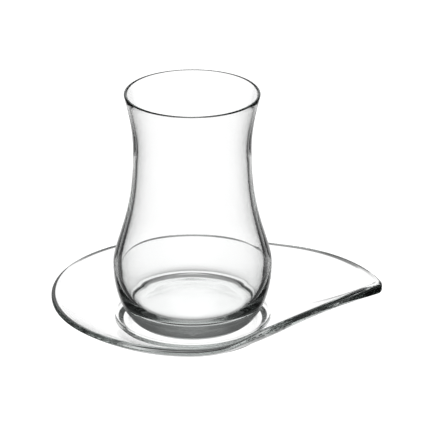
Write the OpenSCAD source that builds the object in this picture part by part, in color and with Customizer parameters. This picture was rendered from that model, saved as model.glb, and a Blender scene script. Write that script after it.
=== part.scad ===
// A waisted tea glass that stands in the well of a drop-shaped glass saucer.
// Millimetres, +Z up. The origin lies on the glass's axis, on the surface that the saucer stands on.
// The saucer's tip points along +X, and its slightly hollow edge faces -Y.

/* [Glass] */
// Height of the glass, from its foot to its rim
glass_h = 90.4; // [80:0.2:110]
// Outer diameter at the rim
rim_d = 50.3; // [44:0.1:62]
// Outer diameter at the waist
waist_d = 44; // [36:0.5:54]
// Height of the waist above the glass's foot
waist_z = 65.7; // [50:0.1:72]
// Outer diameter at the belly
belly_d = 59.4; // [50:0.2:72]
// Height of the belly above the glass's foot
belly_z = 22.9; // [18:0.1:30]
// Diameter of the flat foot
foot_d = 39.4; // [30:0.2:48]
// Lean of the flared rim away from upright, in degrees
flare_angle = 14; // [4:1:24]

/* [Glass walls] */
// Wall at the rim, whose edge is fully rounded
rim_wall = 1.1; // [0.8:0.1:2]
// Wall at the waist
waist_wall = 1.6; // [1:0.1:2.6]
// Wall at the belly
belly_wall = 2.7; // [1.6:0.1:4]
// Thickness of the base under the inner floor
base_t = 7.5; // [4:0.1:10]
// Radius of the flat part of the inner floor
inner_floor_r = 20; // [12:0.5:21]

/* [Saucer plan] */
// Diameter of the saucer's round part
plate_d = 106.2; // [92:0.2:128]
// Radius of the broad curve between the back and the tip
tail_r = 52; // [46:0.5:60]
// How far that curve's centre lies from the glass's axis
tail_shift = 22.5; // [16:0.5:27]
// Direction of that centre, in degrees from +X
tail_dir = -15; // [-20:1:-8]
// Radius of the corner where the round part turns into the hollow edge
hip_r = 26; // [20:0.5:32]
// Direction at which that corner starts, in degrees from +X
hip_dir = -92; // [-100:1:-84]
// Heading of the hollow edge where it starts, in degrees from +X
front_dir = 46; // [42:1:50]
// Radius of the hollow edge
front_r = 900; // [600:50:1500]
// Radius of the rounded tip
tip_r = 4.6; // [4.4:0.2:6]

/* [Saucer section] */
// Height of the saucer's rim above the surface that it stands on
saucer_h = 14.5; // [12:0.1:18]
// Thickness of the rounded lip
lip_t = 2; // [1.6:0.1:3]
// Thickness of the lip around the tip, where the saucer is picked up
tip_lip_t = 4.2; // [3:0.1:4.4]
// How far from the glass's axis the lip starts to thicken towards the tip
tip_lip_x = 30; // [20:1:50]
// Thickness of the floor under the glass
floor_t = 3.5; // [3:0.1:5]
// Depth of the well below the dish
well_depth = 2.6; // [1.6:0.1:3.2]
// Room between the glass's flat foot and the well's wall, at the well's floor
well_gap = 6.1; // [4.4:0.1:9]
// How far the well's wall leans out over its height
well_lean = 3.2; // [2:0.1:5]
// Thickness of the dish where it meets the well
dish_t = 2.6; // [2:0.1:3.2]
// How far the saucer's foot reaches out past the well's floor
foot_out = 2.6; // [1.6:0.1:3.6]
// How much of the dish's rise is left to its outer part: 0 is a straight cone
bowl = 0.85; // [0:0.05:1]

/* [Smoothness] */
// Steps along each curve of the glass's outline
curve_steps = 14; // [10:1:20]
// Degrees of arc for each step around the saucer
arc_step = 5; // [4:1:8]

/* [Hidden] */

// How far each curve's handles reach, as a share of the height that the curve spans. A heel has
// two: the first is a share of the width, the second of the height.
OUTER_HEEL = [0.42, 0.62];
INNER_HEEL = [0.6, 0.5];
SHOULDER_UP = 0.18;
NECK_DOWN = 0.56;
NECK_UP = 0.19;
FLARE_DOWN = 0.61;

TURN_STEPS = 96;
ROUND_STEPS = 6;
SURFACE_STEPS = 6;
HOLLOW_STEPS = 14;
TIP_STEPS = 7;
JOIN_STEPS = 4;
FOOT_ROUND = 0.7;
WELL_ROUND = 0.5;
LIP_TILT = 32;
GLASS_TINT = [0.86, 0.89, 0.88, 0.5];
SAUCER_TINT = [0.80, 0.84, 0.83, 0.5];

rim_r = rim_d / 2;
waist_r = waist_d / 2;
belly_r = belly_d / 2;
foot_r = foot_d / 2;
rim_round = rim_wall / 2;

well_floor_r = foot_r + well_gap;
well_top_r = well_floor_r + well_lean;
well_top_z = floor_t + well_depth;
saucer_foot_r = well_floor_r + foot_out;
dish_under_z = well_top_z - dish_t;

lip_r = lip_t / 2;
lip_path_r = plate_d / 2 - lip_r;

// ---- Curves -------------------------------------------------------------------------------

// A cubic curve from p0 to p3, pulled towards p1 and p2, without its first point.
function curve(p0, p1, p2, p3, steps) =
    [for (i = [1 : steps]) let (t = i / steps, s = 1 - t)
        s * s * s * p0 + 3 * s * s * t * p1 + 3 * s * t * t * p2 + t * t * t * p3];

function polar(r, angle) = [r * cos(angle), r * sin(angle)];
function heading(v) = atan2(v.y, v.x);
function reversed(list) = [for (i = [len(list) - 1 : -1 : 0]) list[i]];

// The glass's outline from its floor to its rim, for radii taken inside or outside the wall.
function wall_line(floor_r, floor_z, belly, waist, top, top_z, heel_reach) =
    let (
        heel = [floor_r, floor_z],
        bulge = [belly, belly_z],
        neck = [waist, waist_z],
        edge = [top, top_z],
        low = belly_z - floor_z,
        mid = waist_z - belly_z,
        high = top_z - waist_z,
        lean = [sin(flare_angle), cos(flare_angle)]
    )
    concat(
        [heel],
        curve(heel, heel + [heel_reach[0] * (belly - floor_r), 0],
              bulge - [0, heel_reach[1] * low], bulge, curve_steps),
        curve(bulge, bulge + [0, SHOULDER_UP * mid],
              neck - [0, NECK_DOWN * mid], neck, curve_steps),
        curve(neck, neck + [0, NECK_UP * high],
              edge - FLARE_DOWN * high * lean, edge, curve_steps)
    );

// ---- Glass --------------------------------------------------------------------------------

module glass() {
    rim_z = glass_h - rim_round;
    outside = wall_line(foot_r, 0, belly_r, waist_r, rim_r, rim_z, OUTER_HEEL);
    inside = wall_line(inner_floor_r, base_t, belly_r - belly_wall, waist_r - waist_wall,
                       rim_r - rim_wall, rim_z, INNER_HEEL);
    rim = [for (i = [1 : ROUND_STEPS - 1])
        [rim_r - rim_round, rim_z] + polar(rim_round, 180 * i / ROUND_STEPS)];
    color(GLASS_TINT)
        translate([0, 0, floor_t])
            rotate_extrude($fn = TURN_STEPS)
                polygon(concat([[0, 0]], outside, rim, reversed(inside), [[0, base_t]]));
}

// ---- Saucer -------------------------------------------------------------------------------

// The line along the middle of the lip, counterclockwise. Each entry is [x, y, direction in
// which the lip faces]. Five arcs, each tangent to the next: the round part, the corner, the
// hollow edge, the tip and the tail. A straight piece joins the tail to the round part.
tail_path_r = tail_r - lip_r;
tail_centre = polar(tail_shift, tail_dir);
join_dir = tail_dir + acos((lip_path_r - tail_path_r) / tail_shift);

hip_path_r = hip_r - lip_r;
hip_centre = polar(lip_path_r - hip_path_r, hip_dir);
hip_end_dir = front_dir - 90;

front_path_r = front_r + lip_r;
front_centre = hip_centre + polar(hip_path_r + front_path_r, hip_end_dir);

// The tip's centre is where two circles cross: one inside the tail's arc, one outside the
// hollow edge's arc, each a tip radius away from it.
tip_path_r = tip_r - lip_r;
reach_tail = tail_path_r - tip_path_r;
reach_front = front_path_r + tip_path_r;
apart = norm(front_centre - tail_centre);
along = (reach_tail * reach_tail - reach_front * reach_front + apart * apart) / (2 * apart);
aside = sqrt(reach_tail * reach_tail - along * along);
across_dir = heading(front_centre - tail_centre);
tip_centre = tail_centre + polar(along, across_dir) + polar(aside, across_dir + 90);
tip_start_dir = heading(front_centre - tip_centre);
tip_end_dir = heading(tip_centre - tail_centre);

// Points of an arc that faces away from its centre, without the last one.
function arc(centre, r, from, to, steps) =
    [for (i = [0 : steps - 1]) let (a = from + (to - from) * i / steps, p = centre + polar(r, a))
        [p.x, p.y, a]];

function arc_steps(from, to) = max(2, ceil(abs(to - from) / arc_step));

lip_path = concat(
    arc([0, 0], lip_path_r, join_dir, hip_dir + 360, arc_steps(join_dir, hip_dir + 360)),
    arc(hip_centre, hip_path_r, hip_dir, hip_end_dir, arc_steps(hip_dir, hip_end_dir)),
    // The hollow edge bends the other way, so it faces its centre.
    [for (p = arc(front_centre, front_path_r, hip_end_dir + 180, tip_start_dir + 180,
                  HOLLOW_STEPS))
        [p.x, p.y, p.z - 180]],
    arc(tip_centre, tip_path_r, tip_start_dir, tip_end_dir, TIP_STEPS),
    arc(tail_centre, tail_path_r, tip_end_dir, join_dir, arc_steps(tip_end_dir, join_dir)),
    [for (i = [0 : JOIN_STEPS - 1])
        let (p = tail_centre * (1 - i / JOIN_STEPS)
                 + polar(tail_path_r + (lip_path_r - tail_path_r) * i / JOIN_STEPS, join_dir))
        [p.x, p.y, join_dir]]
);

// Half the lip's thickness, which grows towards the tip.
tip_x = tip_centre.x + tip_path_r;
function lip_r_at(x) =
    let (t = max(0, (x - tip_lip_x) / (tip_x - tip_lip_x)))
    lip_r + (tip_lip_t / 2 - lip_r) * t * t;

// A ring of the lip's round section, at one direction of it: 0 faces out, 90 faces up. The
// lip's outer and upper faces stay in place where it thickens.
function lip_ring(angle) =
    [for (p = lip_path) let (r = lip_r_at(p.x), out = polar(lip_r - r + r * cos(angle), p.z))
        [p.x + out.x, p.y + out.y, saucer_h - r + r * sin(angle)]];

// A level ring around the axis, its points in line with the lip's.
function level_ring(r, z) = [for (p = lip_path) let (c = polar(r, heading(p))) [c.x, c.y, z]];

// A ring part of the way from one ring to another, whose rise lags behind its reach.
function dish_ring(inner, outer, t) =
    let (rise = (1 - bowl) * t + bowl * t * t)
    [for (i = [0 : len(inner) - 1]) let (a = inner[i], b = outer[i])
        [a.x + (b.x - a.x) * t, a.y + (b.y - a.y) * t, a.z + (b.z - a.z) * rise]];

// Rings joined by triangles into a closed solid. The first and last ring are filled by fans.
module skin(rings, first_centre, last_centre) {
    n = len(rings[0]);
    m = len(rings);
    points = concat([for (ring = rings) each ring], [first_centre, last_centre]);
    sides = [for (k = [0 : m - 2], i = [0 : n - 1])
        let (j = (i + 1) % n, a = k * n + i, b = k * n + j, c = a + n, d = b + n)
        each [[a, b, d], [a, d, c]]];
    first_fan = [for (i = [0 : n - 1]) [m * n, (i + 1) % n, i]];
    last_fan = [for (i = [0 : n - 1]) [m * n + 1, (m - 1) * n + i, (m - 1) * n + (i + 1) % n]];
    polyhedron(points, concat(first_fan, sides, last_fan), convexity = 6);
}

module saucer() {
    lip_top = lip_ring(90 + LIP_TILT);
    lip_under = lip_ring(LIP_TILT - 90);
    dish_top = level_ring(well_top_r + WELL_ROUND, well_top_z);
    dish_under = level_ring(saucer_foot_r + FOOT_ROUND, dish_under_z);
    rings = concat(
        [
            level_ring(well_floor_r - WELL_ROUND, floor_t),
            level_ring(well_floor_r + WELL_ROUND / 2, floor_t + WELL_ROUND / 2),
            level_ring(well_top_r - WELL_ROUND / 2, well_top_z - WELL_ROUND / 2),
            dish_top
        ],
        [for (i = [1 : SURFACE_STEPS - 1]) dish_ring(dish_top, lip_top, i / SURFACE_STEPS)],
        [for (i = [0 : ROUND_STEPS]) lip_ring(90 + LIP_TILT - 180 * i / ROUND_STEPS)],
        [for (i = [SURFACE_STEPS - 1 : -1 : 1]) dish_ring(dish_under, lip_under, i / SURFACE_STEPS)],
        [
            dish_under,
            level_ring(saucer_foot_r, FOOT_ROUND),
            level_ring(saucer_foot_r - FOOT_ROUND, 0)
        ]
    );
    color(SAUCER_TINT)
        skin(rings, [0, 0, floor_t], [0, 0, 0]);
}

glass();
saucer();
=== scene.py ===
"""A waisted tea glass standing in the well of a drop-shaped saucer, both of clear pressed glass.

The file is laid out as a Blender add-on and runs as a script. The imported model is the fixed
frame: the glass and the saucer are modelled around it with smooth walls, and stand for its nodes.
"""

import math

import bmesh
import bpy
from bpy.props import FloatProperty, FloatVectorProperty, IntProperty, PointerProperty
from mathutils import Matrix, Vector
from mathutils.geometry import interpolate_bezier


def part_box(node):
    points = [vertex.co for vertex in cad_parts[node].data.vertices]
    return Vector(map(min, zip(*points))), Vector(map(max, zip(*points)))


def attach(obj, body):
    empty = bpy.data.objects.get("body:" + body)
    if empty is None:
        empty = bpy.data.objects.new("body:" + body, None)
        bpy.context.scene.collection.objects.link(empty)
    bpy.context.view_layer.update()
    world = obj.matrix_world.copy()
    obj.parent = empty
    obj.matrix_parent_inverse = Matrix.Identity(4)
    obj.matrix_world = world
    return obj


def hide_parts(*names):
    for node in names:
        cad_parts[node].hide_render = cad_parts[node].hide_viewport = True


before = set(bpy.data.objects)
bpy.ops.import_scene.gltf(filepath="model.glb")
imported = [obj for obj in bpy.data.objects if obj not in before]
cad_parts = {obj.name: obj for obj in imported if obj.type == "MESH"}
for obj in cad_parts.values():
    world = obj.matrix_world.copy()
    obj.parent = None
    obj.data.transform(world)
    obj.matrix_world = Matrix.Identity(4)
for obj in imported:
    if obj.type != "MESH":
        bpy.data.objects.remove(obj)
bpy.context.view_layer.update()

bl_info = {
    "name": "Waisted Tea Glass and Saucer",
    "version": (1, 0, 0),
    "blender": (4, 5, 0),
    "location": "3D View > Sidebar > Tea Glass",
    "description": "Builds a waisted tea glass and its drop-shaped saucer",
    "category": "Object",
}

BODY = "root"
MM = 0.001
WHITE = (1.0, 1.0, 1.0, 1.0)
GLASS_LOW, GLASS_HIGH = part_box("glass")
SAUCER_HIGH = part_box("saucer")[1]

# The belly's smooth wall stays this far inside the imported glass's box.
INSIDE_BOX = 0.02 * MM


# ---- Settings -----------------------------------------------------------------------------


def length(name, description, default):
    """A size in metres, shown in the scene's units."""
    return FloatProperty(
        name=name, description=description, default=default, min=0.0, unit="LENGTH", precision=5
    )


def angle(name, description, degrees):
    """An angle, kept in radians."""
    return FloatProperty(
        name=name, description=description, default=math.radians(degrees), subtype="ANGLE"
    )


def brightness(name, description, default):
    """A strength of light."""
    return FloatProperty(name=name, description=description, default=default, min=0.0)


class TeaGlassSettings(bpy.types.PropertyGroup):
    """Sizes of the tea glass. Heights are counted from the glass's own foot."""

    foot_level: length("Foot level", "Height of the glass's foot above the table", GLASS_LOW.z)
    height: length("Height", "From the foot to the rim", GLASS_HIGH.z - GLASS_LOW.z)
    rim_radius: length("Rim radius", "Outer radius at the rim", 25.15 * MM)
    waist_radius: length("Waist radius", "Outer radius at the waist", 22.0 * MM)
    waist_height: length("Waist height", "Height of the waist", 65.7 * MM)
    belly_radius: length("Belly radius", "Outer radius at the belly", GLASS_HIGH.x - INSIDE_BOX)
    belly_height: length("Belly height", "Height of the belly", 22.9 * MM)
    foot_radius: length("Foot radius", "Radius of the flat foot", 19.7 * MM)
    rim_wall: length("Rim wall", "Wall at the rounded rim", 1.1 * MM)
    waist_wall: length("Waist wall", "Wall at the waist", 1.6 * MM)
    belly_wall: length("Belly wall", "Wall at the belly", 2.7 * MM)
    base_thickness: length("Base", "Thickness of the base", 7.5 * MM)
    inner_floor_radius: length("Inner floor", "Radius of the flat inner floor", 20.0 * MM)
    punt_depth: length("Punt", "Hollow under the foot", 0.2 * MM)
    flare: angle("Flare", "Lean of the rim away from upright", 14.0)
    segments: IntProperty(name="Segments", description="Steps around", default=192, min=32)
    curve_steps: IntProperty(name="Curve steps", description="Steps per curve", default=22, min=6)


class SaucerSettings(bpy.types.PropertyGroup):
    """Sizes of the saucer. Heights are counted from the table."""

    height: length("Height", "From the table to the rim", SAUCER_HIGH.z)
    plate_radius: length("Round part", "Outer radius of the round part", 53.1 * MM)
    tail_radius: length("Tail", "Radius of the curve between back and tip", 52.0 * MM)
    tail_shift: length("Tail shift", "Distance of the tail's centre", 22.5 * MM)
    tail_direction: angle("Tail direction", "Direction of the tail's centre", -15.0)
    hip_radius: length("Corner", "Radius before the hollow edge", 26.0 * MM)
    hip_direction: angle("Corner direction", "Where the corner starts", -92.0)
    front_heading: angle("Edge heading", "Heading of the hollow edge", 46.0)
    front_radius: length("Hollow edge", "Radius of the hollow edge", 900.0 * MM)
    tip_radius: length("Tip", "Radius of the rounded tip", 4.6 * MM)
    lip: length("Lip", "Thickness of the rounded lip", 2.0 * MM)
    tip_lip: length("Lip at the tip", "Thickness of the lip around the tip", 4.2 * MM)
    floor: length("Floor", "Thickness of the floor under the glass", GLASS_LOW.z)
    well_depth: length("Well depth", "Depth of the well", 2.6 * MM)
    well_radius: length("Well radius", "Radius of the well's floor", 25.8 * MM)
    well_lean: length("Well lean", "How far the well's wall leans out", 3.2 * MM)
    foot_radius: length("Foot radius", "Radius of the foot", 28.4 * MM)
    dish: length("Dish", "Thickness of the dish by the well", 2.6 * MM)
    recess: length("Recess", "Hollow under the foot", 0.8 * MM)
    bowl: FloatProperty(
        name="Bowl", description="Share of the rise left to the outer part", default=0.85
    )
    arc_step: angle("Arc step", "Arc between two points of the lip", 3.0)
    dish_steps: IntProperty(name="Dish steps", description="Rings of the dish", default=16, min=4)


class FinishSettings(bpy.types.PropertyGroup):
    """Colour and surface of the clear glass."""

    refraction: FloatProperty(
        name="Refraction", description="Index of refraction", default=1.5, min=1.0, max=2.0
    )
    absorption: FloatVectorProperty(
        name="Absorption",
        description="Colour that thick glass takes on",
        subtype="COLOR",
        size=3,
        min=0.0,
        max=1.0,
        default=(0.80, 0.86, 0.84),
    )
    density: FloatProperty(
        name="Density", description="Absorption per metre", default=14.0, min=0.0
    )
    ripple: FloatProperty(
        name="Ripple", description="Strength of the fire-polished ripple", default=0.05, min=0.0
    )


class StudioSettings(bpy.types.PropertyGroup):
    """The surround, the pale floor and the camera."""

    background: brightness("Background", "Brightness seen directly or through glass", 1.22)
    light_above: brightness("Light above", "Mirrored light from above", 0.7)
    panel_behind: brightness("Panel behind", "Mirrored light from behind the object", 0.85)
    panel_in_front: brightness("Panel in front", "Mirrored light from low in front", 0.9)
    flags: brightness("Flags", "Mirrored light from the dark flags all around", 0.05)
    floor_radius: length("Floor", "Radius of the pale floor", 0.8)
    camera_distance: length("Distance", "Camera to the aimed point", 1.3)
    camera_pitch: angle("Pitch", "How far the camera looks down", 22.73)
    view_width: length("View width", "Width seen at the aimed point", 160.15 * MM)
    aim_x: length("Aim X", "Aimed point along X", 8.38 * MM)
    aim_z: length("Aim Z", "Aimed point's height", 45.21 * MM)


# ---- Mesh helpers -------------------------------------------------------------------------


def polar(radius, direction):
    """A point in a plane at a radius and a direction in radians."""
    return Vector((radius * math.cos(direction), radius * math.sin(direction)))


def heading(vector):
    """The direction of a plane vector, in radians."""
    return math.atan2(vector.y, vector.x)


def curve(start, out_handle, in_handle, end, steps):
    """Points of a cubic curve between two section points, without the first one."""
    knots = [Vector((p[0], 0.0, p[1])) for p in (start, out_handle, in_handle, end)]
    return [Vector((p.x, p.z)) for p in interpolate_bezier(*knots, steps + 1)[1:]]


def new_piece(name, bm, material):
    """Makes an object from a bmesh, smooth and with its faces outwards."""
    bmesh.ops.recalc_face_normals(bm, faces=bm.faces)
    for face in bm.faces:
        face.smooth = True
    mesh = bpy.data.meshes.new(name)
    bm.to_mesh(mesh)
    bm.free()
    mesh.materials.append(material)
    piece = bpy.data.objects.new(name, mesh)
    bpy.context.collection.objects.link(piece)
    return piece


# ---- Materials ----------------------------------------------------------------------------

# The noise values between which faint wear sets in, and the roughness where it is strongest.
WEAR_RANGE = (0.45, 0.75)
WORN_ROUGHNESS = 0.012
RIPPLE_HEIGHT = 0.6 * MM

# Scales of the ripple's noise and of the wear's, per metre, on the glass and on the saucer.
GLASS_SCALES = (55.0, 900.0)
SAUCER_SCALES = (38.0, 700.0)


def next_place(tree):
    """The next spot for a helper node, in rows below a tree's main nodes."""
    row, column = divmod(len(tree.nodes), 8)
    return (200 * column - 1200, -500 - 200 * row)


def add_node(tree, kind, place, **values):
    """A node with its sockets set by name, or its own settings where no socket has that name."""
    node = tree.nodes.new(kind)
    node.location = place
    for key, value in values.items():
        if key in node.inputs:
            node.inputs[key].default_value = value
        else:
            setattr(node, key, value)
    return node


def fire_polish_group():
    """A node group: the slow ripple and the faint wear of fire-polished glass."""
    tree = bpy.data.node_groups.new("Fire Polish", "ShaderNodeTree")
    face = tree.interface
    face.new_socket("Vector", in_out="INPUT", socket_type="NodeSocketVector")
    face.new_socket("Ripple Scale", in_out="INPUT", socket_type="NodeSocketFloat")
    face.new_socket("Wear Scale", in_out="INPUT", socket_type="NodeSocketFloat")
    face.new_socket("Least Roughness", in_out="INPUT", socket_type="NodeSocketFloat")
    face.new_socket("Most Roughness", in_out="INPUT", socket_type="NodeSocketFloat")
    face.new_socket("Height", in_out="OUTPUT", socket_type="NodeSocketFloat")
    face.new_socket("Roughness", in_out="OUTPUT", socket_type="NodeSocketFloat")
    ends = add_node(tree, "NodeGroupInput", (-700, 0))
    ripple = add_node(tree, "ShaderNodeTexNoise", (-400, 160), Detail=1.5, Roughness=0.4)
    wear = add_node(tree, "ShaderNodeTexNoise", (-400, -120), Detail=5.0, Roughness=0.6)
    spread = add_node(tree, "ShaderNodeMapRange", (-150, -120))
    spread.inputs["From Min"].default_value = WEAR_RANGE[0]
    spread.inputs["From Max"].default_value = WEAR_RANGE[1]
    result = add_node(tree, "NodeGroupOutput", (120, 0))
    link = tree.links.new
    link(ends.outputs["Vector"], ripple.inputs["Vector"])
    link(ends.outputs["Ripple Scale"], ripple.inputs["Scale"])
    link(ends.outputs["Vector"], wear.inputs["Vector"])
    link(ends.outputs["Wear Scale"], wear.inputs["Scale"])
    link(wear.outputs["Fac"], spread.inputs["Value"])
    link(ends.outputs["Least Roughness"], spread.inputs["To Min"])
    link(ends.outputs["Most Roughness"], spread.inputs["To Max"])
    link(ripple.outputs["Fac"], result.inputs["Height"])
    link(spread.outputs["Result"], result.inputs["Roughness"])
    return tree


def clear_glass(name, ripple_scale, wear_scale):
    """Clear pressed glass: faint grey-green in its thickness, with a slow ripple."""
    finish = bpy.context.scene.tea_finish
    group = bpy.data.node_groups.get("Fire Polish") or fire_polish_group()
    material = bpy.data.materials.new(name)
    material.use_nodes = True
    tree = material.node_tree
    shader = tree.nodes["Principled BSDF"]
    shader.inputs["Base Color"].default_value = WHITE
    shader.inputs["IOR"].default_value = finish.refraction
    shader.inputs["Transmission Weight"].default_value = 1.0
    shader.inputs["Roughness"].default_value = 0.0
    depth = add_node(tree, "ShaderNodeVolumeAbsorption", (0, -300), Density=finish.density)
    depth.inputs["Color"].default_value = (*finish.absorption, 1.0)
    place = add_node(tree, "ShaderNodeTexCoord", (-900, 0))
    polish = add_node(tree, "ShaderNodeGroup", (-650, 0), node_tree=group)
    polish.inputs["Ripple Scale"].default_value = ripple_scale
    polish.inputs["Wear Scale"].default_value = wear_scale
    polish.inputs["Least Roughness"].default_value = 0.0
    polish.inputs["Most Roughness"].default_value = WORN_ROUGHNESS
    bump = add_node(tree, "ShaderNodeBump", (-350, -200), Strength=finish.ripple)
    bump.inputs["Distance"].default_value = RIPPLE_HEIGHT
    link = tree.links.new
    link(place.outputs["Object"], polish.inputs["Vector"])
    link(polish.outputs["Height"], bump.inputs["Height"])
    link(polish.outputs["Roughness"], shader.inputs["Roughness"])
    link(bump.outputs["Normal"], shader.inputs["Normal"])
    link(depth.outputs["Volume"], tree.nodes["Material Output"].inputs["Volume"])
    return material


# ---- Glass --------------------------------------------------------------------------------

# How far each curve's handles reach, as a share of the height that the curve spans.
OUTER_HEEL = (0.42, 0.62)
INNER_HEEL = (0.60, 0.50)
SHOULDER_UP = 0.18
NECK_DOWN = 0.56
NECK_UP = 0.19
FLARE_DOWN = 0.61

# Steps around the rim's half round, under the foot, and across the inner floor.
ROUND_STEPS = 12
PUNT_STEPS = 10
FLOOR_STEPS = 6

# The hollow under the foot: how far it and the foot stand clear of the saucer, the level ring
# around it, and how far out its own middle stays level, as a share of its radius.
FOOT_CLEARANCE = 0.04 * MM
PUNT_EDGE = 2.4 * MM
PUNT_LEVEL = 0.6

# Points closer than this are merged.
SAME_POINT = 0.001 * MM


def wall_line(sizes, floor, belly, waist, edge, heel_reach):
    """The glass's outline from a floor point up to the rim, inside or outside the wall."""
    heel = Vector(floor)
    bulge = Vector((belly, sizes.belly_height))
    neck = Vector((waist, sizes.waist_height))
    top = Vector(edge)
    low = bulge.y - heel.y
    middle = neck.y - bulge.y
    high = top.y - neck.y
    lean = Vector((math.sin(sizes.flare), math.cos(sizes.flare)))
    steps = sizes.curve_steps
    heel_out = heel + Vector((heel_reach[0] * (belly - heel.x), 0.0))
    heel_up = bulge - Vector((0.0, heel_reach[1] * low))
    line = [heel]
    line += curve(heel, heel_out, heel_up, bulge, steps)
    shoulder = bulge + Vector((0.0, SHOULDER_UP * middle))
    neck_under = neck - Vector((0.0, NECK_DOWN * middle))
    line += curve(bulge, shoulder, neck_under, neck, steps)
    neck_over = neck + Vector((0.0, NECK_UP * high))
    line += curve(neck, neck_over, top - FLARE_DOWN * high * lean, top, steps)
    return line


def glass_section(sizes):
    """The closed half section of the glass, from the axis under it to the axis inside it."""
    rim_round = sizes.rim_wall / 2
    rim_height = sizes.height - rim_round
    rim_centre = Vector((sizes.rim_radius - rim_round, rim_height))
    outside = wall_line(
        sizes,
        (sizes.foot_radius, FOOT_CLEARANCE),
        sizes.belly_radius,
        sizes.waist_radius,
        (sizes.rim_radius, rim_height),
        OUTER_HEEL,
    )
    inside = wall_line(
        sizes,
        (sizes.inner_floor_radius, sizes.base_thickness),
        sizes.belly_radius - sizes.belly_wall,
        sizes.waist_radius - sizes.waist_wall,
        (sizes.rim_radius - sizes.rim_wall, rim_height),
        INNER_HEEL,
    )
    rim = [
        rim_centre + polar(rim_round, math.pi * step / ROUND_STEPS)
        for step in range(1, ROUND_STEPS)
    ]
    punt_top = FOOT_CLEARANCE + sizes.punt_depth
    punt_start = Vector((0.0, punt_top))
    punt_end = Vector((sizes.foot_radius - PUNT_EDGE, FOOT_CLEARANCE))
    middle = Vector((punt_end.x * PUNT_LEVEL, punt_top))
    near_edge = punt_end - Vector((PUNT_EDGE, 0.0))
    punt = [punt_start] + curve(punt_start, middle, near_edge, punt_end, PUNT_STEPS)
    floor_centre = Vector((0.0, sizes.base_thickness))
    floor = [
        inside[0].lerp(floor_centre, step / FLOOR_STEPS) for step in range(1, FLOOR_STEPS + 1)
    ]
    return punt + outside + rim + list(reversed(inside)) + floor


class MESH_OT_tea_glass(bpy.types.Operator):
    """Builds the tea glass by turning its section about the upright axis"""

    bl_idname = "mesh.tea_glass_body"
    bl_label = "Tea Glass"

    def execute(self, context):
        sizes = context.scene.tea_glass
        bm = bmesh.new()
        verts = [
            bm.verts.new((point.x, 0.0, point.y + sizes.foot_level))
            for point in glass_section(sizes)
        ]
        edges = [bm.edges.new(pair) for pair in zip(verts, verts[1:])]
        bmesh.ops.spin(
            bm,
            geom=verts + edges,
            cent=(0.0, 0.0, 0.0),
            axis=(0.0, 0.0, 1.0),
            angle=2 * math.pi,
            steps=sizes.segments,
            use_merge=True,
        )
        bmesh.ops.remove_doubles(bm, verts=bm.verts, dist=SAME_POINT)
        piece = new_piece("tea_glass", bm, clear_glass("clear_glass", *GLASS_SCALES))
        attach(piece, BODY)
        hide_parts("glass")
        return {"FINISHED"}


# ---- Saucer -------------------------------------------------------------------------------

# Steps along the hollow edge, the straight piece and the lip's half round, and the tip's coarser
# step as a multiple of the arc step.
EDGE_STEPS = 28
JOIN_STEPS = 8
LIP_STEPS = 26
TIP_STEP = 3

# The lip's half round leans in by the tilt. Its outer half is squared by a power, which is 1 for
# a true round. It thickens towards the tip from this far along X.
LIP_TILT = math.radians(50.0)
LIP_POWER = 0.62
TIP_STARTS = 30.0 * MM

# The well: how much of its edges is rounded, and where its wall and its floor have their rings,
# as shares of the way up the wall and out from the middle.
WELL_EASE = 0.6 * MM
EASE_STEPS = 6
WALL_SHARES = (0.25, 0.5, 0.75, 1.0)
FLOOR_SHARES = (0.3, 0.6, 0.85, 1.0)

# The foot: how much of its edges is rounded, how far its outline dips as it leaves the dish, as
# a share of its height, the width of its standing ring, and the hollow inside that.
FOOT_EASE = 1.0 * MM
FOOT_STEPS = 12
FOOT_DROP = 0.055
FOOT_RIM = 2.0 * MM
HOLLOW_EASE = 1.0 * MM
HOLLOW_SHARE = 0.85
HOLLOW_STEPS = 5
HOLLOW_SHARES = (0.7, 0.35)


def arc(centre, radius, start, end, step):
    """Points of an arc with the direction that each faces, without the last one."""
    count = max(3, math.ceil(abs(end - start) / step))
    turns = [start + (end - start) * i / count for i in range(count)]
    return [(centre + polar(radius, turn), turn) for turn in turns]


def lip_path(sizes):
    """The line along the middle of the lip, as points and the direction that each faces.

    Five arcs, each tangent to the next: the round part, the corner, the hollow edge, the tip and
    the tail. A straight piece joins the tail to the round part.
    """
    lip = sizes.lip / 2
    plate = sizes.plate_radius - lip
    tail = sizes.tail_radius - lip
    tail_centre = polar(sizes.tail_shift, sizes.tail_direction)
    join = sizes.tail_direction + math.acos((plate - tail) / sizes.tail_shift)
    hip = sizes.hip_radius - lip
    hip_centre = polar(plate - hip, sizes.hip_direction)
    hip_end = sizes.front_heading - math.pi / 2
    front = sizes.front_radius + lip
    front_centre = hip_centre + polar(hip + front, hip_end)
    tip = sizes.tip_radius - lip
    reach_tail = tail - tip
    reach_front = front + tip
    across = front_centre - tail_centre
    apart = across.length
    along = (reach_tail**2 - reach_front**2 + apart**2) / (2 * apart)
    aside = math.sqrt(reach_tail**2 - along**2)
    tip_centre = (
        tail_centre
        + polar(along, heading(across))
        + polar(aside, heading(across) + math.pi / 2)
    )
    tip_start = heading(front_centre - tip_centre)
    tip_end = heading(tip_centre - tail_centre)
    step = sizes.arc_step
    origin = Vector((0.0, 0.0))
    path = arc(origin, plate, join, sizes.hip_direction + 2 * math.pi, step)
    path += arc(hip_centre, hip, sizes.hip_direction, hip_end, step)
    edge_step = abs(tip_start - hip_end) / EDGE_STEPS
    hollow = arc(front_centre, front, hip_end + math.pi, tip_start + math.pi, edge_step)
    path += [(point, turn - math.pi) for point, turn in hollow]
    path += arc(tip_centre, tip, tip_start, tip_end, step * TIP_STEP)
    path += arc(tail_centre, tail, tip_end, join, step)
    for i in range(JOIN_STEPS):
        share = i / JOIN_STEPS
        centre = tail_centre * (1 - share)
        path.append((centre + polar(tail + (plate - tail) * share, join), join))
    return path


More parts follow.
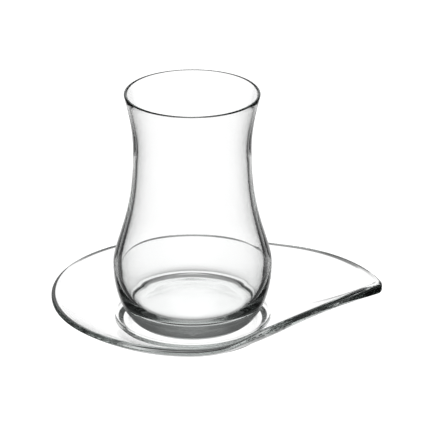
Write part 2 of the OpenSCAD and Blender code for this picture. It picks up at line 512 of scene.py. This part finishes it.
def squared(share):
    """Pushes a sine or a cosine out towards a rounded square."""
    return math.copysign(abs(share) ** LIP_POWER, share)


class SaucerRings:
    """Places the points of each ring of the saucer, in line with the points of its lip."""

    def __init__(self, sizes):
        self.sizes = sizes
        self.path = lip_path(sizes)
        self.lip = sizes.lip / 2
        self.reach = max(point.x for point, _ in self.path)

    def lip_at(self, point):
        """Half the lip's thickness at a point of the lip, more around the tip."""
        share = min(max((point.x - TIP_STARTS) / (self.reach - TIP_STARTS), 0.0), 1.0)
        return self.lip + (self.sizes.tip_lip / 2 - self.lip) * share**2

    def round_lip(self, turn):
        """A ring of the lip's section: 0 faces out, a quarter turn faces up.

        The outer half is a rounded square, and the inner half is round.
        """
        reach = math.cos(turn)
        rise = math.sin(turn)
        if reach > 0:
            reach = squared(reach)
            rise = squared(rise)
        ring = []
        for point, facing in self.path:
            lip = self.lip_at(point)
            out = point + polar(self.lip - lip + lip * reach, facing)
            height = self.sizes.height - lip + lip * rise
            ring.append(Vector((out.x, out.y, height)))
        return ring

    def level(self, radius, height):
        """A level ring about the axis."""
        ring = []
        for point, _ in self.path:
            spot = polar(radius, heading(point))
            ring.append(Vector((spot.x, spot.y, height)))
        return ring

    def between(self, inner, outer, share):
        """A ring part of the way across the dish, whose rise lags behind its reach."""
        bowl = self.sizes.bowl
        rise = (1 - bowl) * share + bowl * share**2
        ring = []
        for a, b in zip(inner, outer):
            spot = a.lerp(b, share)
            spot.z = a.z + (b.z - a.z) * rise
            ring.append(spot)
        return ring


def well_rings(rings, sizes):
    """Rings of the well, from its floor up its rounded wall to the dish."""
    low = Vector((sizes.well_radius, sizes.floor))
    high = Vector((sizes.well_radius + sizes.well_lean, sizes.floor + sizes.well_depth))
    along = (high - low).normalized() * WELL_EASE
    outwards = Vector((WELL_EASE, 0.0))
    start = low - outwards
    line = curve(start, low, low, low + along, EASE_STEPS)
    wall_end = high - along
    line += [line[-1].lerp(wall_end, share) for share in WALL_SHARES]
    line += curve(wall_end, high, high, high + outwards, EASE_STEPS)
    flat = [rings.level(start.x * share, sizes.floor) for share in FLOOR_SHARES]
    return flat + [rings.level(point.x, point.y) for point in line]


def foot_rings(rings, sizes):
    """Rings of the underside, from the dish down the foot's wall and in under the foot."""
    under = sizes.floor + sizes.well_depth - sizes.dish
    start = Vector((sizes.foot_radius + FOOT_EASE, under))
    end = Vector((sizes.foot_radius - FOOT_EASE, 0.0))
    leave = start - Vector((FOOT_EASE, FOOT_DROP * under))
    arrive = end + Vector((FOOT_EASE, 0.0))
    line = curve(start, leave, arrive, end, FOOT_STEPS)
    inner = end - Vector((FOOT_RIM, 0.0))
    hollow_end = Vector((inner.x * HOLLOW_SHARE, sizes.recess))
    ease = Vector((HOLLOW_EASE, 0.0))
    hollow = curve(inner, inner - ease, hollow_end + ease, hollow_end, HOLLOW_STEPS)
    inwards = [Vector((hollow_end.x * share, sizes.recess)) for share in HOLLOW_SHARES]
    section = [start] + line + [inner] + hollow + inwards
    return [rings.level(point.x, point.y) for point in section]


def extrude_rings(bm, all_rings):
    """Sweeps a ring of points through the others by extruding its edges, and shuts both ends."""
    place = bm.verts.layers.int.new("place on the lip")
    verts = [bm.verts.new(point) for point in all_rings[0]]
    for i, vert in enumerate(verts):
        vert[place] = i
    edges = [bm.edges.new((a, b)) for a, b in zip(verts, verts[1:] + verts[:1])]
    bm.faces.new(verts)
    for ring in all_rings[1:]:
        grown = bmesh.ops.extrude_edge_only(bm, edges=edges)["geom"]
        edges = [item for item in grown if isinstance(item, bmesh.types.BMEdge)]
        verts = [item for item in grown if isinstance(item, bmesh.types.BMVert)]
        for vert in verts:
            vert.co = ring[vert[place]]
        edges = [e for e in edges if e.verts[0] in verts and e.verts[1] in verts]
    bm.faces.new(sorted(verts, key=lambda vert: vert[place]))


class MESH_OT_tea_saucer(bpy.types.Operator):
    """Builds the drop-shaped saucer by sweeping its lip's line through its section"""

    bl_idname = "mesh.tea_saucer"
    bl_label = "Saucer"

    def execute(self, context):
        sizes = context.scene.tea_saucer
        rings = SaucerRings(sizes)
        quarter = math.pi / 2
        lip_top = rings.round_lip(quarter + LIP_TILT)
        lip_under = rings.round_lip(LIP_TILT - quarter)
        well = well_rings(rings, sizes)
        foot = foot_rings(rings, sizes)
        steps = sizes.dish_steps
        dish = [rings.between(well[-1], lip_top, i / steps) for i in range(1, steps)]
        lip = [
            rings.round_lip(quarter + LIP_TILT - math.pi * i / LIP_STEPS)
            for i in range(LIP_STEPS + 1)
        ]
        under = [rings.between(foot[0], lip_under, i / steps) for i in range(steps - 1, 0, -1)]
        bm = bmesh.new()
        extrude_rings(bm, well + dish + lip + under + foot)
        piece = new_piece("tea_saucer", bm, clear_glass("saucer_glass", *SAUCER_SCALES))
        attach(piece, BODY)
        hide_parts("saucer")
        return {"FINISHED"}


# ---- Studio -------------------------------------------------------------------------------


def level_of(degrees):
    """The height on the unit sphere at an elevation."""
    return math.sin(math.radians(degrees))


# Where rays that only pass through glass see the surround darken, and by how much: upwards, and
# in a band that points steeply down. Each pair runs from no effect to the full one.
SKY_DARKENS = (level_of(2), level_of(22))
SKY_SHADE = 0.88
LOW_DARKENS = (level_of(-32), level_of(-47))
LOW_ENDS = (level_of(-79), level_of(-72))
LOW_SHADE = 0.76

# Where mirrored rays see the lights. Heights are on the unit sphere. Across the view, 1 is
# straight behind the object and -1 is straight in front of it. Each pair runs from no light to
# the full one, except that the panel behind lies between two heights, each with a soft edge.
ABOVE_FROM = (0.76, 0.94)
BEHIND_ACROSS = (math.cos(math.radians(36)), math.cos(math.radians(8)))
BEHIND_HEIGHTS = (level_of(-40), level_of(38))
BEHIND_SOFTNESS = 0.16
FRONT_ACROSS = (-0.6, -0.96)
FRONT_BELOW = (0.05, -0.10)

# How often light may pass through glass, and be mirrored, before it counts as lost.
GLASS_PASSES = 32
MIRRORINGS = 24

FLOOR_SEGMENTS = 96

# The camera's sensor in millimetres, and how near and how far it sees, in metres.
SENSOR_WIDTH = 36.0
CLIP_START = 0.05
CLIP_END = 20.0


def soft_step(tree, value, start, end):
    """Rises softly from 0 at the start value to 1 at the end value, which may be the lower."""
    step = add_node(tree, "ShaderNodeMapRange", next_place(tree), interpolation_type="SMOOTHSTEP")
    step.inputs["From Min"].default_value = start
    step.inputs["From Max"].default_value = end
    tree.links.new(value, step.inputs["Value"])
    return step.outputs["Result"]


def math_node(tree, operation, first, second):
    """A math node on two values, each a socket or a number."""
    node = add_node(tree, "ShaderNodeMath", next_place(tree), operation=operation)
    for socket, value in zip(node.inputs, (first, second)):
        if isinstance(value, (int, float)):
            socket.default_value = value
        else:
            tree.links.new(value, socket)
    return node.outputs["Value"]


def at_least_once(tree, depth):
    """1 for rays whose count of passes or mirrorings is 1 or more."""
    return math_node(tree, "GREATER_THAN", depth, 0.5)


def band(tree, value, low, high, soft):
    """1 between two values, with soft ends."""
    rise = soft_step(tree, value, low - soft, low + soft)
    fall = soft_step(tree, value, high + soft, high - soft)
    return math_node(tree, "MULTIPLY", rise, fall)


def mirrored_light(tree, across, up, studio):
    """What the glass mirrors: a light above it and panels behind and in front, between flags."""
    above = math_node(tree, "MULTIPLY", soft_step(tree, up, *ABOVE_FROM), studio.light_above)
    behind = soft_step(tree, across, *BEHIND_ACROSS)
    behind = math_node(tree, "MULTIPLY", behind, band(tree, up, *BEHIND_HEIGHTS, BEHIND_SOFTNESS))
    behind = math_node(tree, "MULTIPLY", behind, studio.panel_behind)
    front = soft_step(tree, across, *FRONT_ACROSS)
    front = math_node(tree, "MULTIPLY", front, soft_step(tree, up, *FRONT_BELOW))
    front = math_node(tree, "MULTIPLY", front, studio.panel_in_front)
    light = math_node(tree, "MAXIMUM", above, studio.flags)
    light = math_node(tree, "MAXIMUM", light, behind)
    return math_node(tree, "MAXIMUM", light, front)


def clear_light(tree, through, up, studio):
    """What is seen directly or through glass: bright, and shaded through glass up and low down."""
    sky = math_node(tree, "MULTIPLY", soft_step(tree, up, *SKY_DARKENS), SKY_SHADE)
    low = soft_step(tree, up, *LOW_DARKENS)
    low = math_node(tree, "MULTIPLY", low, soft_step(tree, up, *LOW_ENDS))
    low = math_node(tree, "MULTIPLY", low, LOW_SHADE)
    shade = math_node(tree, "MAXIMUM", sky, low)
    shade = math_node(tree, "MULTIPLY", shade, through)
    left = math_node(tree, "SUBTRACT", 1.0, shade)
    return math_node(tree, "MULTIPLY", left, studio.background)


def studio_world(studio):
    """The surround. Rays that some glass has mirrored see lights and dark flags in its place."""
    world = bpy.data.worlds.new("studio")
    world.use_nodes = True
    tree = world.node_tree
    tree.nodes.clear()
    place = add_node(tree, "ShaderNodeTexCoord", (-1200, -200))
    split = add_node(tree, "ShaderNodeSeparateXYZ", (-1000, -200))
    tree.links.new(place.outputs["Generated"], split.inputs["Vector"])
    up = split.outputs["Z"]
    level = math_node(tree, "SUBTRACT", 1.0, math_node(tree, "MULTIPLY", up, up))
    level = math_node(tree, "SQRT", level, 0.0)
    across = math_node(tree, "DIVIDE", split.outputs["Y"], level)
    path = add_node(tree, "ShaderNodeLightPath", (-600, 200))
    mirrored = at_least_once(tree, path.outputs["Glossy Depth"])
    through = at_least_once(tree, path.outputs["Transmission Depth"])
    mix = add_node(tree, "ShaderNodeMix", (-150, 0), data_type="FLOAT")
    tree.links.new(mirrored, mix.inputs["Factor"])
    tree.links.new(clear_light(tree, through, up, studio), mix.inputs["A"])
    tree.links.new(mirrored_light(tree, across, up, studio), mix.inputs["B"])
    light = add_node(tree, "ShaderNodeBackground", (100, 0))
    output = add_node(tree, "ShaderNodeOutputWorld", (300, 0))
    tree.links.new(mix.outputs["Result"], light.inputs["Strength"])
    tree.links.new(light.outputs["Background"], output.inputs["Surface"])
    light.inputs["Color"].default_value = WHITE
    return world


def pale_floor(studio):
    """The plain floor, as bright as the surround. Only the camera's own rays see it."""
    paint = bpy.data.materials.new("pale_floor")
    paint.use_nodes = True
    tree = paint.node_tree
    tree.nodes.clear()
    glow = add_node(tree, "ShaderNodeEmission", (0, 0))
    glow.inputs["Color"].default_value = WHITE
    glow.inputs["Strength"].default_value = studio.background
    output = add_node(tree, "ShaderNodeOutputMaterial", (200, 0))
    tree.links.new(glow.outputs["Emission"], output.inputs["Surface"])
    bm = bmesh.new()
    bmesh.ops.create_circle(bm, cap_ends=True, segments=FLOOR_SEGMENTS, radius=studio.floor_radius)
    floor = new_piece("floor", bm, paint)
    floor.visible_diffuse = False
    floor.visible_glossy = False
    floor.visible_transmission = False
    floor.visible_shadow = False


def add_camera(studio):
    """The camera in front of the glass, looking down on it through a long lens."""
    camera = bpy.data.cameras.new("camera")
    camera.sensor_width = SENSOR_WIDTH
    camera.lens = SENSOR_WIDTH * studio.camera_distance / studio.view_width
    camera.clip_start = CLIP_START
    camera.clip_end = CLIP_END
    holder = bpy.data.objects.new("camera", camera)
    aim = Matrix.Translation((studio.aim_x, 0.0, studio.aim_z))
    tilt = Matrix.Rotation(math.pi / 2 - studio.camera_pitch, 4, "X")
    back = Matrix.Translation((0.0, 0.0, studio.camera_distance))
    holder.matrix_world = aim @ tilt @ back
    bpy.context.collection.objects.link(holder)
    return holder


class SCENE_OT_tea_studio(bpy.types.Operator):
    """Adds the pale floor, the light around the object and the camera"""

    bl_idname = "scene.tea_studio"
    bl_label = "Studio"

    def execute(self, context):
        studio = context.scene.tea_studio
        scene = context.scene
        scene.world = studio_world(studio)
        pale_floor(studio)
        scene.camera = add_camera(studio)
        scene.view_settings.view_transform = "Standard"
        scene.cycles.max_bounces = GLASS_PASSES
        scene.cycles.transmission_bounces = GLASS_PASSES
        scene.cycles.glossy_bounces = MIRRORINGS
        return {"FINISHED"}


# ---- Panel and registration ---------------------------------------------------------------


class VIEW3D_PT_tea_glass(bpy.types.Panel):
    """Lists the pieces and their sizes"""

    bl_idname = "VIEW3D_PT_tea_glass"
    bl_label = "Tea Glass"
    bl_space_type = "VIEW_3D"
    bl_region_type = "UI"
    bl_category = "Tea Glass"

    def draw(self, context):
        for label, group, operator in STEPS:
            box = self.layout.box()
            box.label(text=label)
            settings = getattr(context.scene, group)
            for name in settings.bl_rna.properties.keys():
                if name not in ("rna_type", "name"):
                    box.prop(settings, name)
            if operator:
                box.operator(operator)


STEPS = (
    ("Finish", "tea_finish", ""),
    ("Glass", "tea_glass", MESH_OT_tea_glass.bl_idname),
    ("Saucer", "tea_saucer", MESH_OT_tea_saucer.bl_idname),
    ("Studio", "tea_studio", SCENE_OT_tea_studio.bl_idname),
)

SETTINGS = {
    "tea_finish": FinishSettings,
    "tea_glass": TeaGlassSettings,
    "tea_saucer": SaucerSettings,
    "tea_studio": StudioSettings,
}

CLASSES = (
    *SETTINGS.values(),
    MESH_OT_tea_glass,
    MESH_OT_tea_saucer,
    SCENE_OT_tea_studio,
    VIEW3D_PT_tea_glass,
)


def register():
    for cls in CLASSES:
        bpy.utils.register_class(cls)
    for name, group in SETTINGS.items():
        setattr(bpy.types.Scene, name, PointerProperty(type=group))


def unregister():
    for name in SETTINGS:
        delattr(bpy.types.Scene, name)
    for cls in reversed(CLASSES):
        bpy.utils.unregister_class(cls)


def main():
    register()
    bpy.ops.mesh.tea_glass_body()
    bpy.ops.mesh.tea_saucer()
    bpy.ops.scene.tea_studio()


if __name__ == "__main__":
    main()
